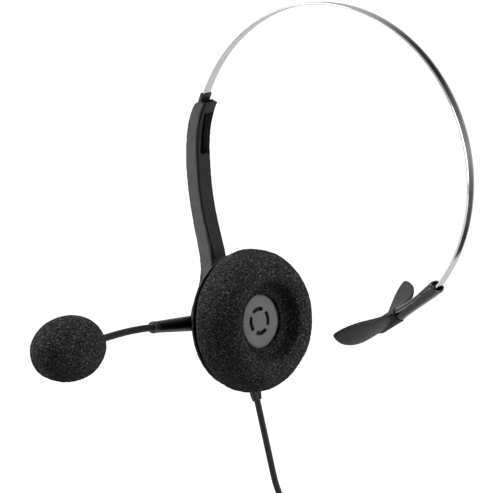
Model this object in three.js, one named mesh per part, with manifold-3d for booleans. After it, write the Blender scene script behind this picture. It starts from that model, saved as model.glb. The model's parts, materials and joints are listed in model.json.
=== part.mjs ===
// One-ear office headset: steel headband, sliding arm, ear cup on a ball, turning boom with a
// gooseneck microphone, temple bar, and a short cable with a modular plug.
// Millimetres. +Z up, +X from the ear cup across the head to the temple bar, -Y forwards.
// Origin: the flat under the headband's highest point. The pieces are drawn about the hub's
// centre, where the boom and the ear cup turn, and the whole is moved there at the end.

import * as THREE from 'three';
import { mergeVertices } from 'three/addons/utils/BufferGeometryUtils.js';
import Module from 'manifold-3d';

const wasm = await Module();
wasm.setup();

const DEG = Math.PI / 180;
const TURN = 2 * Math.PI;

// ---------------------------------------------------------------- driving dimensions
const GAP = 0.3; // air between neighbours that were cut to fit
const FIT = 0.12; // running clearance of sliding and turning pieces

const LEAN = 8 * DEG; // how far the ear side leans back from vertical
const SWIVEL = 6.5 * DEG; // how far the ear cup looks forwards at rest

const BAND = { radius: 59.7, x: 47.06, z: 62.75, width: 4.5, thickness: 0.7 };
const BAND_STEP = 2.5; // degrees per facet; one facet lies flat at the crown
const BAND_TAIL = 188.75; // end of the strip inside the arm, degrees from +X
const BAND_TIP = -41.9; // end of the strip inside the temple stem

const HUB_RADIUS = 13.2; // boom rotor
const PLATE = { radius: 13.4, inner: -0.4, outer: -3.2 }; // round end of the arm, along the hub axis
const ROTOR = { inner: -3.55, outer: -6.9 };
const STUD_RADIUS = 2.2;
const BALL = { radius: 2.6, at: 3 };
const LINER_RADIUS = 3.08;
const SOCKET_RADIUS = 3.2;

const CUSHION_AT = 11; // widest circle of the ear cushion, from the ball centre
const CUSHION_RADIUS = 26.9;
// The cable leaves the cup down its own radius, then bows inwards so that the microphone swings past it.
const CABLE = {
  radius: 1.2, exit: 8 * DEG, at: 4.5, from: 9, straightTo: 63, firstPull: 71, middle: 85, middleBow: 6.53,
  bow: 10.2,
};

const BOOM = {
  axis: -5, rise: 6.8 * DEG, rootRadius: 2.95, rootDrop: 0.4, endRadius: 2.15, end: 34.7,
};
const NECK = { radius: 1.3, start: 36.9, hingeA: 43, hingeB: 54, end: 72.6 };
const NECK_BEND = { down: 2.2 * DEG, inwards: 3 * DEG }; // at each of the two hinges, at rest
const SCREEN = { centre: 87.8, length: 31.4, radius: 11.8 };

const STEM = { x: 94.1, z: 26.8, headingMouth: 43 * DEG, headingPad: 35 * DEG, bend: 18, length: 31.5 };
const JOURNAL = { radius: 2.1, start: 20.4 };
const PAD = {
  at: 26.5, lift: 0.2, halfSpan: 27, rise: 7.1, sweep: 2.8, thickness: 3, twist: 10.5 * DEG,
  chord: 15.3, frontRoll: -30 * DEG, backRoll: 8 * DEG,
};
const PAD_LEAF = { waist: 0.68, flare: 0.5, tipPower: 2.8, tipRound: 0.8, tipHalf: 0.65 };

const PLUG = { top: -118, width: 7.7, depth: 6.2, length: 11.2 };

// ---------------------------------------------------------------- colours and finishes
const FINISH = {
  steel: { color: 0xc9cbce, roughness: 0.18, metalness: 1 },
  satin: { color: 0x1a1a1b, roughness: 0.42, metalness: 0 },
  gloss: { color: 0x0d0d0e, roughness: 0.16, metalness: 0 },
  matt: { color: 0x2b2b2c, roughness: 0.75, metalness: 0 },
  foam: { color: 0x1b1b1c, roughness: 1, metalness: 0 },
  grey: { color: 0x4d4d4e, roughness: 0.55, metalness: 0 },
  rubber: { color: 0x151515, roughness: 0.8, metalness: 0 },
  felt: { color: 0x8a8a86, roughness: 1, metalness: 0 },
  board: { color: 0x17482a, roughness: 0.5, metalness: 0 },
  film: { color: 0xb9a46a, roughness: 0.3, metalness: 0 },
  clear: { color: 0xd8dcdd, roughness: 0.1, metalness: 0 },
  gold: { color: 0xd0a545, roughness: 0.25, metalness: 1 },
  zinc: { color: 0x9b9da0, roughness: 0.35, metalness: 1 },
};

// ---------------------------------------------------------------- solid helpers
// Merged vertices, no flat triangles, faces pointing out.
function clean(geometry) {
  const bare = geometry.clone();
  for (const name of Object.keys(bare.attributes)) {
    if (name !== 'position') bare.deleteAttribute(name);
  }
  const merged = mergeVertices(bare, 1e-4);
  const source = merged.index.array;
  const kept = [];
  for (let i = 0; i < source.length; i += 3) {
    const [a, b, c] = [source[i], source[i + 1], source[i + 2]];
    if (a !== b && b !== c && c !== a) kept.push(a, b, c);
  }
  merged.setIndex(kept);
  if (volume(merged) < 0) {
    for (let i = 0; i < kept.length; i += 3) [kept[i], kept[i + 1]] = [kept[i + 1], kept[i]];
    merged.setIndex(kept);
  }
  return merged;
}

function volume(geometry) {
  const corner = [new THREE.Vector3(), new THREE.Vector3(), new THREE.Vector3()];
  const position = geometry.attributes.position;
  const index = geometry.index.array;
  let sum = 0;
  for (let i = 0; i < index.length; i += 3) {
    corner.forEach((v, k) => v.fromBufferAttribute(position, index[i + k]));
    sum += corner[0].dot(corner[1].clone().cross(corner[2])) / 6;
  }
  return sum;
}

function toSolid(geometry) {
  const ready = clean(geometry);
  return new wasm.Manifold(new wasm.Mesh({
    numProp: 3,
    vertProperties: new Float32Array(ready.attributes.position.array),
    triVerts: new Uint32Array(ready.index.array),
  }));
}

function toGeometry(solid) {
  const mesh = solid.getMesh();
  const geometry = new THREE.BufferGeometry();
  geometry.setAttribute('position', new THREE.BufferAttribute(new Float32Array(mesh.vertProperties), 3));
  geometry.setIndex(Array.from(mesh.triVerts));
  return geometry;
}

function cut(body, ...tools) {
  return toGeometry(tools.reduce((solid, tool) => solid.subtract(toSolid(tool)), toSolid(body)));
}

function join(...bodies) {
  return toGeometry(bodies.map(toSolid).reduce((sum, solid) => sum.add(solid)));
}

function common(a, b) {
  return toGeometry(toSolid(a).intersect(toSolid(b)));
}

// ---------------------------------------------------------------- shape helpers
function box(width, depth, height, x = 0, y = 0, z = 0) {
  return new THREE.BoxGeometry(width, depth, height).translate(x, y, z);
}

// Round solid about +X from [radius, distance along X] points.
function turned(profile, segments = 32) {
  const points = profile.map(([r, along]) => new THREE.Vector2(r, along));
  return new THREE.LatheGeometry(points, segments).rotateZ(-TURN / 4);
}

// Ring or socket about +X whose profile closes on itself.
function turnedRing(profile, segments = 32) {
  return turned([...profile, profile[0]], segments);
}

function washer(inner, outer, from, to, segments = 32) {
  return turnedRing([[inner, from], [outer, from], [outer, to], [inner, to]], segments);
}

function disc(radius, from, to, segments = 32) {
  return turned([[0, from], [radius, from], [radius, to], [0, to]], segments);
}

// Points of an arc [radius, along] about (0, centre), from and to in degrees above the X normal.
function ballArc(radius, from, to, steps, centre = 0) {
  const points = [];
  for (let i = 0; i <= steps; i += 1) {
    const angle = (from + ((to - from) * i) / steps) * DEG;
    points.push([radius * Math.cos(angle), centre + radius * Math.sin(angle)]);
  }
  return points;
}

// A flat outline in X and Z, given width along Y and centred on it.
function slab(shape, width, curveSegments = 12) {
  const depth = { depth: width, bevelEnabled: false, curveSegments };
  return new THREE.ExtrudeGeometry(shape, depth).rotateX(TURN / 4).translate(0, width / 2, 0);
}

// Part of a ring about the headband's centre, in the XZ plane.
function bandSector(inner, outer, fromDeg, toDeg, width, steps) {
  const shape = new THREE.Shape();
  const count = steps ?? Math.max(2, Math.ceil((toDeg - fromDeg) / BAND_STEP));
  const points = [];
  for (let i = 0; i <= count; i += 1) {
    const angle = (fromDeg + ((toDeg - fromDeg) * i) / count) * DEG;
    points.push([Math.cos(angle), Math.sin(angle)]);
  }
  const outerLine = points.map(([c, s]) => new THREE.Vector2(c * outer, s * outer));
  const innerLine = points.map(([c, s]) => new THREE.Vector2(c * inner, s * inner)).reverse();
  shape.setFromPoints([...outerLine, ...innerLine]);
  return slab(shape, width).translate(BAND.x, 0, BAND.z);
}

// Rod whose axis is a radius of the headband, through the strip at one angle.
function bandRod(radius, inner, outer, angleDeg, segments = 12) {
  const angle = angleDeg * DEG;
  const rod = new THREE.CylinderGeometry(radius, radius, outer - inner, segments);
  rod.rotateZ(-TURN / 4).translate((inner + outer) / 2, 0, 0).rotateY(-angle);
  return rod.translate(BAND.x, 0, BAND.z);
}

// Closed skin over rings of equally many points, with flat ends.
function loft(rings) {
  const count = rings[0].length;
  const positions = rings.flat().flatMap((p) => [p.x, p.y, p.z]);
  const index = [];
  for (let r = 0; r < rings.length - 1; r += 1) {
    for (let i = 0; i < count; i += 1) {
      const a = r * count + i;
      const b = r * count + ((i + 1) % count);
      index.push(a, b, b + count, a, b + count, a + count);
    }
  }
  for (const [r, flip] of [[0, true], [rings.length - 1, false]]) {
    const start = r * count;
    for (let i = 1; i < count - 1; i += 1) {
      if (flip) index.push(start, start + i + 1, start + i);
      else index.push(start, start + i, start + i + 1);
    }
  }
  const geometry = new THREE.BufferGeometry();
  geometry.setAttribute('position', new THREE.Float32BufferAttribute(positions, 3));
  geometry.setIndex(index);
  return geometry;
}

// Oval ring of points round a centre, with half sizes along two directions; power 2 is an ellipse.
function oval(centre, sideways, halfSide, upwards, halfUp, count, power = 2) {
  const ring = [];
  for (let i = 0; i < count; i += 1) {
    const angle = (TURN * i) / count;
    const [c, s] = [Math.cos(angle), Math.sin(angle)];
    const a = Math.sign(c) * Math.abs(c) ** (2 / power) * halfSide;
    const b = Math.sign(s) * Math.abs(s) ** (2 / power) * halfUp;
    ring.push(centre.clone().addScaledVector(sideways, a).addScaledVector(upwards, b));
  }
  return ring;
}

// Round rod along a curve.
function rodAlong(curve, radius, steps, sides = 12) {
  const shape = new THREE.Shape();
  shape.absarc(0, 0, radius, 0, TURN);
  return new THREE.ExtrudeGeometry(shape, {
    steps, extrudePath: curve, bevelEnabled: false, curveSegments: sides,
  });
}

// Machine screw along +X with its head at the far end: shank from, head from, head to.
function screw(shankRadius, headRadius, shankFrom, headFrom, headTo) {
  const body = turned([
    [0, shankFrom], [shankRadius, shankFrom], [shankRadius, headFrom],
    [headRadius, headFrom], [headRadius * 0.85, headTo], [0, headTo],
  ], 20);
  const slot = headRadius * 0.22;
  const depth = Math.abs(headTo - headFrom) * 0.55;
  const at = headTo - Math.sign(headTo - headFrom) * (depth / 2 - 0.05);
  return cut(body, box(depth + 0.1, headRadius * 1.2, slot, at), box(depth + 0.1, slot, headRadius * 1.2, at));
}

// ---------------------------------------------------------------- assembly helpers
function mesh(name, geometry, finish) {
  const piece = new THREE.Mesh(clean(geometry), new THREE.MeshStandardMaterial(FINISH[finish]));
  piece.name = name;
  return piece;
}

function group(...children) {
  const holder = new THREE.Group();
  holder.add(...children);
  return holder;
}

// ---------------------------------------------------------------- headband
const STRIP_IN = BAND.radius - BAND.thickness / 2;
const STRIP_OUT = BAND.radius + BAND.thickness / 2;
const RIVET_AT = 185;
const STEM_PIN_AT = -40.5;
const SLIDE_BLOCK = { thickness: 1.15, from: 183, to: 188.4, width: 4.5 };

function headbandStrip() {
  const steps = Math.ceil((BAND_TAIL - BAND_TIP) / BAND_STEP);
  const start = BAND_TAIL - steps * BAND_STEP;
  const strip = bandSector(STRIP_IN, STRIP_OUT, start, BAND_TAIL, BAND.width, steps);
  const beyondTip = bandSector(STRIP_IN - 1, STRIP_OUT + 1, start - 1, BAND_TIP, BAND.width + 1);
  const holes = [RIVET_AT, STEM_PIN_AT].map((at) => bandRod(1, STRIP_IN - 1, STRIP_OUT + 1, at));
  return mesh('headband_strip', cut(strip, beyondTip, ...holes), 'steel');
}

// Block riveted inside the strip's lower end, with a rounded tongue that shows in the window.
function slideBlock() {
  const outer = STRIP_IN - 0.1;
  const inner = outer - SLIDE_BLOCK.thickness;
  const block = bandSector(inner, outer, SLIDE_BLOCK.from, SLIDE_BLOCK.to, SLIDE_BLOCK.width);
  const tongue = bandRod(SLIDE_BLOCK.width / 2, inner, outer, SLIDE_BLOCK.from, 24);
  const body = cut(join(block, tongue), bandRod(1, inner - 1, outer + 1, RIVET_AT));
  return mesh('band_slide_block', body, 'matt');
}

// Rivet headed on the block's side and flush with the strip's outer face, which slides past the spring.
function slideBlockRivet() {
  const inner = STRIP_IN - 0.1 - SLIDE_BLOCK.thickness;
  const shank = bandRod(0.75, inner - 0.2, STRIP_OUT - 0.03, RIVET_AT);
  const head = bandRod(1.4, inner - 0.5, inner - 0.1, RIVET_AT, 16);
  return mesh('slide_block_rivet', join(shank, head), 'zinc');
}

// ---------------------------------------------------------------- adjustment arm
const ARM_OUTER = [[-6.8, 8.5], [-7.6, 16.5], [-8, 21], [-9.2, 27], [-11, 33], [-13.4, 43], [-14.9, 54],
  [-15.25, 62], [-14.5, 71.5], [-12.2, 78.6], [-10.4, 81.6]];
const ARM_INNER = [[-6.3, 81.6], [-7.7, 78.6], [-9.4, 72.5], [-10.05, 66], [-9.85, 59], [-9, 49.5], [-7.2, 40],
  [-4.6, 30.8], [-2.6, 23.7], [-2.2, 17], [-2.4, 8.5]];
const ARM = { topHalfWidth: 4.1, topEdge: 82.4, topEdgeX: -8.4, cavityHalfWidth: 2.75, wall: 1.35 };
const COVER = { rise: 0.6, lowest: 23.5, highest: 81.5, halfWidth: 3.45 };
const WINDOW = { from: 164.8, to: 180.6, halfWidth: 2.5, offset: 0.3, corner: 1, sideGap: 0.15 };
const GUIDE = { from: 158, to: 162.8, inner: 59, outer: 60.4, width: 5.3 };

function curveThrough(points) {
  return new THREE.SplineCurve(points.map(([x, z]) => new THREE.Vector2(x, z)));
}

function shifted(points, normalDistance) {
  return points.map(([x, z]) => [x + normalDistance, z]);
}

// Region between an outer and an inner line in the XZ plane.
function armSide(outer, inner, topPoint) {
  const shape = new THREE.Shape();
  const line = curveThrough(outer).getPoints(22);
  const back = curveThrough(inner).getPoints(22);
  const top = topPoint ? [new THREE.Vector2(...topPoint)] : [];
  shape.setFromPoints([...line, ...top, ...back]);
  return shape;
}

// Front view of the arm: narrow blade that flares into the round end.
function armFront() {
  const shape = new THREE.Shape();
  const side = [[ARM.topHalfWidth - 0.8, ARM.topEdge + 1], [ARM.topHalfWidth, 80], [3.8, 70], [3.75, 56],
    [3.8, 42], [4, 33], [4.4, 25.5], [4.7, 19.6], [5.6, 15.5], [7.2, 12], [8.6, 9], [9, 7]];
  const right = curveThrough(side).getPoints(20);
  const left = right.map((p) => new THREE.Vector2(-p.x, p.y)).reverse();
  shape.setFromPoints([...right, ...left]);
  return new THREE.ExtrudeGeometry(shape, { depth: 40, bevelEnabled: false })
    .rotateX(TURN / 4).rotateZ(TURN / 4).translate(-30, 0, 0);
}

function armOuterShell() {
  const overRotor = disc(HUB_RADIUS + 0.4, PLATE.outer - 9, PLATE.outer, 40).rotateY(-LEAN);
  const blade = cut(
    common(slab(armSide(ARM_OUTER, ARM_INNER, [ARM.topEdgeX, ARM.topEdge]), 30), armFront()), overRotor);
  const plate = disc(PLATE.radius, PLATE.outer, PLATE.inner, 48).rotateY(-LEAN);
  const cavityOuter = shifted(ARM_OUTER.slice(5, 9), ARM.wall);
  const cavityInner = shifted(ARM_INNER.slice(2, 7), 4);
  const cavity = slab(armSide(cavityOuter, cavityInner), 2 * ARM.cavityHalfWidth);
  const track = bandSector(57.3, 60.4, 160, 190, 2 * ARM.cavityHalfWidth);
  const opening = bandSector(50, 58, WINDOW.from - 0.6, 175, 2 * ARM.cavityHalfWidth);
  const notch = bandSector(
    GUIDE.inner - GAP, GUIDE.outer + 2, 152, GUIDE.to + 0.4, GUIDE.width + 2 * GAP);
  const bore = disc(STUD_RADIUS + FIT, PLATE.outer - 1, PLATE.inner + 1, 24).rotateY(-LEAN);
  const recess = disc(4.7, PLATE.inner - 1.2, PLATE.inner + 1, 28).rotateY(-LEAN);
  const solid = cut(join(blade, plate), cavity, track, opening, notch, bore, recess, ...coverScrewSeat());
  return mesh('arm_outer_shell', solid, 'satin');
}

// Thin lid over the arm's channel, with the window for the slide block.
function armInnerCover() {
  const near = shifted(ARM_INNER, 0.1);
  const far = shifted(ARM_INNER, 0.1 + COVER.rise).reverse();
  const side = slab(armSide(near, far), 2 * COVER.halfWidth);
  const length = COVER.highest - COVER.lowest;
  const range = box(40, 30, length, -10, 0, (COVER.highest + COVER.lowest) / 2);
  const notch = bandSector(GUIDE.inner - GAP, GUIDE.outer + 2, 152, GUIDE.to + 0.4, 20);
  const boss = placeCoverScrew(disc(COVER_SCREW.bossRadius, COVER_SCREW.bossEnd, 0.4, 20));
  const pilot = placeCoverScrew(disc(0.65, COVER_SCREW.bossEnd - 1, -0.4, 14));
  return mesh('arm_inner_cover', cut(join(common(side, range), boss), coverWindow(), notch, pilot), 'matt');
}

// Long window; its lower edge is a tongue with rounded corners.
function coverWindow() {
  const depth = [50, 62];
  const shoulder = WINDOW.to + WINDOW.corner;
  const flat = WINDOW.halfWidth - WINDOW.sideGap - WINDOW.corner;
  const opening = bandSector(...depth, WINDOW.from, shoulder, 2 * WINDOW.halfWidth);
  const edge = bandSector(...depth, WINDOW.to, shoulder + 1, 2 * flat);
  const corners = [-1, 1].map((side) =>
    bandRod(WINDOW.corner, ...depth, shoulder).translate(0, side * flat, 0));
  return cut(opening, edge, ...corners).translate(0, WINDOW.offset, 0);
}

// Small dark collar that leads the strip out of the arm's top.
function armTopGuide() {
  const block = bandSector(GUIDE.inner, GUIDE.outer, GUIDE.from, GUIDE.to, GUIDE.width);
  const slot = bandSector(STRIP_IN - FIT, STRIP_OUT + FIT, GUIDE.from - 3, GUIDE.to + 3,
    BAND.width + 2 * FIT);
  return mesh('arm_top_guide', cut(block, slot), 'rubber');
}

// Leaf between the arm's outer wall and the strip that holds the chosen length by friction.
function detentSpring() {
  return mesh('detent_spring', bandSector(STRIP_OUT + 0.12, STRIP_OUT + 0.34, 167.5, 176.5, 4.2), 'steel');
}

// The cover is held from the arm's outer face: a screw into a boss on the cover's hidden side.
const COVER_SCREW = { x: -3.6, z: 27.6, tilt: 14 * DEG, bossRadius: 1.5, bossEnd: -2.4, headSeat: -3.5 };

function placeCoverScrew(geometry) {
  return geometry.rotateY(-COVER_SCREW.tilt).translate(COVER_SCREW.x, 0, COVER_SCREW.z);
}

function coverScrewSeat() {
  return [
    disc(COVER_SCREW.bossRadius + 0.15, COVER_SCREW.bossEnd - 0.15, 4, 20),
    disc(0.75, COVER_SCREW.headSeat - 1, 0, 16),
    disc(1.6, -8, COVER_SCREW.headSeat, 20),
  ].map(placeCoverScrew);
}

function coverScrew() {
  const under = COVER_SCREW.headSeat - 0.1;
  return mesh('arm_cover_screw', placeCoverScrew(screw(0.55, 1.35, -0.7, under, under - 0.7)), 'zinc');
}

// ---------------------------------------------------------------- hub, on the arm's side
// Ball on a stud that passes through the arm's plate and carries the boom rotor.
function ballStud() {
  const flange = { radius: 4.4, outer: PLATE.inner - 1.1, inner: PLATE.inner };
  const neck = 1.4;
  const end = -5.5;
  const ballStart = Math.asin(-Math.sqrt(1 - (neck / BALL.radius) ** 2)) / DEG;
  const profile = [
    [0, -1.9], [1.05, -1.9], [1.05, end], [STUD_RADIUS, end], [STUD_RADIUS, flange.outer],
    [flange.radius, flange.outer], [flange.radius, flange.inner], [neck, flange.inner],
    ...ballArc(BALL.radius, ballStart, 90, 7, BALL.at),
  ];
  profile[profile.length - 1][0] = 0;
  return mesh('ball_stud', turned(profile, 20), 'zinc');
}

function hubScrew() {
  return mesh('hub_screw', screw(0.85, 3.3, -2.2, -5.6, -6.35), 'zinc');
}

// ---------------------------------------------------------------- boom hub
function boomRotor() {
  const profile = [
    [STUD_RADIUS + FIT, ROTOR.inner], [12.8, ROTOR.inner], [HUB_RADIUS, ROTOR.inner - 0.4],
    [HUB_RADIUS, -5.6], [12.6, -6.35], [11.4, ROTOR.outer], [9.6, ROTOR.outer], [9.6, -6.4],
    [5.6, -6.4], [5.6, -5.2], [STUD_RADIUS + FIT, -5.2],
  ];
  const socket = boomRod([[0, 10.2], [1.3, 10.2], [1.3, 15], [0, 15]], 16);
  return mesh('boom_rotor', cut(turnedRing(profile, 36), socket), 'satin');
}

function rotorCap() {
  const profile = [[0, -6.45], [9.4, -6.45], [9.4, -6.95], [6.5, -7.3], [0, -7.45]];
  return mesh('rotor_cap', turned(profile, 40), 'gloss');
}

function frictionWasher() {
  return mesh('friction_washer', washer(3.2, 11, PLATE.outer - 0.27, PLATE.outer - 0.08, 32), 'felt');
}

// Wavy spring washer under the hub screw's head.
function waveWasher() {
  const ring = washer(2.45, 5.2, -5.5, -5.3, 28);
  return mesh('wave_washer', ring, 'steel');
}

// ---------------------------------------------------------------- boom and microphone
// Round solid along the boom from [radius, distance from the hub axis] points.
function boomRod(profile, segments = 24) {
  return turned(profile, segments).rotateZ(-TURN / 4).rotateX(-BOOM.rise).translate(BOOM.axis, 0, 0);
}

// Tapered stalk, lower at the hub, with a spigot that goes into the rotor.
function boomTube() {
  const spigot = { start: 10.4, radius: 1.2 };
  const start = HUB_RADIUS + 0.35;
  const [side, up] = [new THREE.Vector3(1, 0, 0), new THREE.Vector3(0, 0, 1)];
  const sizes = [
    [start, BOOM.rootRadius, BOOM.rootDrop], [BOOM.end, BOOM.endRadius, 0], [BOOM.end + 0.2, 1.5, 0],
  ];
  const rings = sizes.map(([along, radius, drop]) => (
    oval(new THREE.Vector3(0, -along, -drop), side, radius, up, radius, 24)));
  const stalk = loft(rings).rotateX(-BOOM.rise).translate(BOOM.axis, 0, 0);
  const pin = [[0, spigot.start], [spigot.radius, spigot.start], [spigot.radius, start + 1], [0, start + 1]];
  return mesh('boom_tube', join(stalk, boomRod(pin)), 'satin');
}

function boomCollar() {
  const start = BOOM.end + 0.3;
  const end = NECK.start - 0.1;
  const profile = [[0, start], [2.2, start], [2.35, start + 0.5], [2.2, end - 0.3], [1.5, end], [0, end]];
  return mesh('boom_collar', boomRod(profile, 20), 'gloss');
}

// The gooseneck is three links that turn about the ball ends between them.
const NECK_GAP = 0.35;

function boomPoint(along) {
  return new THREE.Vector3(BOOM.axis, -along * Math.cos(BOOM.rise), along * Math.sin(BOOM.rise));
}

// Carry a shape from the straight boom line to where the bent gooseneck holds it.
function bent(geometry, hinges) {
  for (const hinge of hinges) {
    const at = boomPoint(hinge);
    geometry.translate(-at.x, -at.y, -at.z).rotateX(NECK_BEND.down).rotateZ(NECK_BEND.inwards);
    geometry.translate(at.x, at.y, at.z);
  }
  return geometry;
}

function onMiddle(geometry) {
  return bent(geometry, [NECK.hingeA]);
}

function onTip(geometry) {
  return bent(geometry, [NECK.hingeB, NECK.hingeA]);
}

function roundEnd(at) {
  return ballArc(NECK.radius, 0, 90, 4).map(([r, along]) => [along === NECK.radius ? 0 : r, at + along]);
}

function neckLink(from, ballAt) {
  const profile = [[0, from], [NECK.radius, from], ...roundEnd(ballAt)];
  profile[profile.length - 1][0] = 0;
  return boomRod(profile, 14);
}

function gooseneckLinks() {
  const clear = NECK.radius + NECK_GAP;
  const tip = [[0, NECK.hingeB + clear], [NECK.radius, NECK.hingeB + clear], [NECK.radius, NECK.end],
    [0, NECK.end]];
  return {
    root: mesh('gooseneck_root', neckLink(NECK.start, NECK.hingeA), 'matt'),
    middle: mesh('gooseneck_middle', onMiddle(neckLink(NECK.hingeA + clear, NECK.hingeB)), 'matt'),
    tip: mesh('gooseneck_tip', onTip(boomRod(tip, 14)), 'matt'),
  };
}

const MIC = { start: NECK.end + 0.3, radius: 4.7, end: 84.7 };

// Small cage that holds the capsule, with an open front.
function micHolder() {
  const profile = [
    [0.8, MIC.start], [1.6, MIC.start], [MIC.radius, MIC.start + 3.4], [MIC.radius, MIC.end],
    [MIC.radius - 0.6, MIC.end], [MIC.radius - 0.6, MIC.start + 3.6], [0.8, MIC.start + 1.4],
  ];
  return mesh('mic_holder', onTip(boomRod([...profile, profile[0]], 20)), 'satin');
}

function micCapsule() {
  const from = MIC.start + 5;
  const profile = [[0, from], [3.9, from], [3.9, from + 5.5], [0, from + 5.5]];
  return mesh('mic_capsule', onTip(boomRod(profile, 20)), 'zinc');
}

// Egg of foam pulled over the holder and closed round the gooseneck.
function micWindscreen() {
  const half = SCREEN.length / 2;
  const mouth = NECK.radius + GAP;
  const room = MIC.radius + GAP;
  const steps = 13;
  const skin = [];
  for (let i = 0; i <= steps; i += 1) {
    const angle = Math.PI * (0.09 + (0.91 * i) / steps);
    const along = SCREEN.centre - half * Math.cos(angle);
    const taper = 1 - 0.05 * (along - SCREEN.centre) / half;
    skin.push([i === steps ? 0 : SCREEN.radius * Math.sin(angle) ** 0.94 * taper, along]);
  }
  const hollow = [[0, MIC.end + 0.6], [room, MIC.end + 0.6], [room, MIC.start + 3.1],
    [mouth + 0.2, MIC.start - 0.5], [mouth, skin[0][1]]];
  return mesh('mic_windscreen', onTip(boomRod([...hollow, ...skin], 24)), 'foam');
}

// ---------------------------------------------------------------- ear cup
// Distances in the cup are measured along its axis from the cushion's widest circle.
function atCup(profile) {
  return profile.map(([r, s]) => [r, s + CUSHION_AT]);
}

// Place a box or rod made about +X beside the cup's cable exit: down the exit's radius.
function towardsExit(geometry) {
  return geometry.rotateX(CABLE.exit);
}

const SHELL_SCREWS = [55, 145, 285].map((angle) => angle * DEG);
const SHELL_SCREW_RADIUS = 18.2;

function atShellScrew(geometry, angle) {
  return geometry.translate(0, 0, SHELL_SCREW_RADIUS).rotateX(angle);
}

const SHELL = { rim: 25.4, rimAt: -6.3, lip: -5.6 };

function earCupShell() {
  const socket = ballArc(SOCKET_RADIUS, -30, 50, 4).map(([r, u]) => [r, u - CUSHION_AT]);
  const outside = [
    [4.4, -12.8], [5, -12.6], [8, -11.7], [15, -10.3], [21, -8.6], [24.4, -7.4],
    [SHELL.rim, SHELL.rimAt], [SHELL.rim - 0.15, SHELL.lip],
  ];
  const inside = [
    [24.1, SHELL.lip], [23.9, -6.4], [21, -7.3], [15, -9], [8, -10.4], [5.2, -10.6], [5, -8.2],
    [socket[socket.length - 1][0], -8.2],
  ];
  const body = turnedRing(atCup([socket[0], ...outside, ...inside, ...socket.reverse().slice(0, -1)]), 36);
  const holes = SHELL_SCREWS.map((angle) => atShellScrew(disc(0.95, -4, 6, 12), angle));
  const exit = towardsExit(box(3.7, 4.9, 15, CABLE.at + 0.1, 0, -25.5));
  return mesh('ear_cup_shell', cut(body, exit, ...holes), 'satin');
}

function ballLiner() {
  const outside = ballArc(LINER_RADIUS, -25, 42, 4);
  const inside = ballArc(BALL.radius + 0.1, -25, 42, 4).reverse();
  return mesh('ball_liner', turnedRing([...outside, ...inside], 20), 'felt');
}

// Ring that clips into the shell and carries the speaker.
function speakerCarrier() {
  const profile = [
    [23.6, -6.1], [23.6, -5.3], [22.4, -5.1], [22, -1.4], [14.1, 2.7], [12.2, 2.7], [12.2, 1.8],
    [13.7, 1.6], [20.7, -2], [21.1, -6.1],
  ];
  const boss = (radius, from, to) => SHELL_SCREWS.map((angle) => atShellScrew(
    disc(radius, from + CUSHION_AT, to + CUSHION_AT, 14), angle));
  const body = join(turnedRing(atCup(profile), 32), ...boss(1.9, -7, -0.5));
  const passage = towardsExit(box(3.6, 4.9, 8, CABLE.at + 0.1, 0, -23.5));
  return mesh('speaker_carrier', cut(body, passage, ...boss(0.8, -9, -2)), 'satin');
}

function shellScrews() {
  return SHELL_SCREWS.map((angle, i) => {
    const head = { to: 0.45, from: 1.05 };
    const shape = screw(0.65, 1.5, 6.6, head.from, head.to);
    return mesh(`shell_screw_${i + 1}`, atShellScrew(shape, angle), 'zinc');
  });
}

// Grey grille under the cushion's hole, with four arc slots.
function speakerPlate() {
  const slot = { inner: 3.9, outer: 5.2, halfAngle: 33.5 * DEG, centre: 4 * DEG };
  const plate = disc(13.8, 2.85 + CUSHION_AT, 3.9 + CUSHION_AT, 40);
  const slots = [0, 1, 2, 3].map((k) => {
    const shape = new THREE.Shape();
    shape.absarc(0, 0, slot.outer, -slot.halfAngle, slot.halfAngle, false);
    shape.absarc(0, 0, slot.inner, slot.halfAngle, -slot.halfAngle, true);
    return new THREE.ExtrudeGeometry(shape, { depth: 4, bevelEnabled: false, curveSegments: 8 })
      .rotateY(TURN / 4).rotateX(slot.centre + (k * TURN) / 4).translate(1 + CUSHION_AT, 0, 0);
  });
  return mesh('speaker_plate', cut(plate, ...slots), 'grey');
}

function speakerParts() {
  const basket = turnedRing(atCup([
    [11.8, 2.3], [10.2, 2.3], [10.2, 1.5], [6.7, -0.4], [6.7, -1.8], [7.8, -1.8], [11.8, 0.7],
  ]), 28);
  const magnet = turned(atCup([[0, -5.2], [6.4, -5.2], [6.4, -0.6], [4.5, -0.6], [4.5, -2.8], [3.9, -2.8],
    [3.9, -0.6], [0, -0.6]]), 24);
  const membrane = turned(atCup([[0, 0.9], [4.1, 0.2], [9.8, 1.7], [9.8, 1.9], [4.1, 0.45], [0, 1.15]]), 24);
  return [
    mesh('speaker_basket', basket, 'zinc'),
    mesh('speaker_magnet', magnet, 'steel'),
    mesh('speaker_membrane', membrane, 'film'),
    mesh('damping_felt', disc(11.4, 2.42 + CUSHION_AT, 2.72 + CUSHION_AT, 24), 'felt'),
    mesh('terminal_board', box(0.8, 11, 6, CUSHION_AT - 6.2, 0, 0), 'board'),
  ];
}

// Foam ring with a coned hole; it wraps over the carrier.
function earCushion() {
  const profile = [
    [9.9, 4.2], [9.6, 4.7], [11.2, 6], [12.9, 7.7], [13.9, 9.2], [14.6, 10], [16.2, 10.9], [18.5, 11.4],
    [21, 10.8], [23.7, 8.6], [25.9, 4.8], [CUSHION_RADIUS, 0], [26.4, -3], [25.1, -4.7], [24.2, -4.9],
    [23, -4.6], [22.5, -1], [14.5, 3.2], [14.2, 4.2],
  ];
  const relief = towardsExit(box(3.7, 4.9, 12, CABLE.at + 0.1, 0, -27));
  return mesh('ear_cushion', cut(turnedRing(atCup(profile), 40), relief), 'foam');
}

// ---------------------------------------------------------------- cable and plug
const BOOT = { from: 23.9, to: 32, wide: 4.2, thick: 2.9 };

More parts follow.
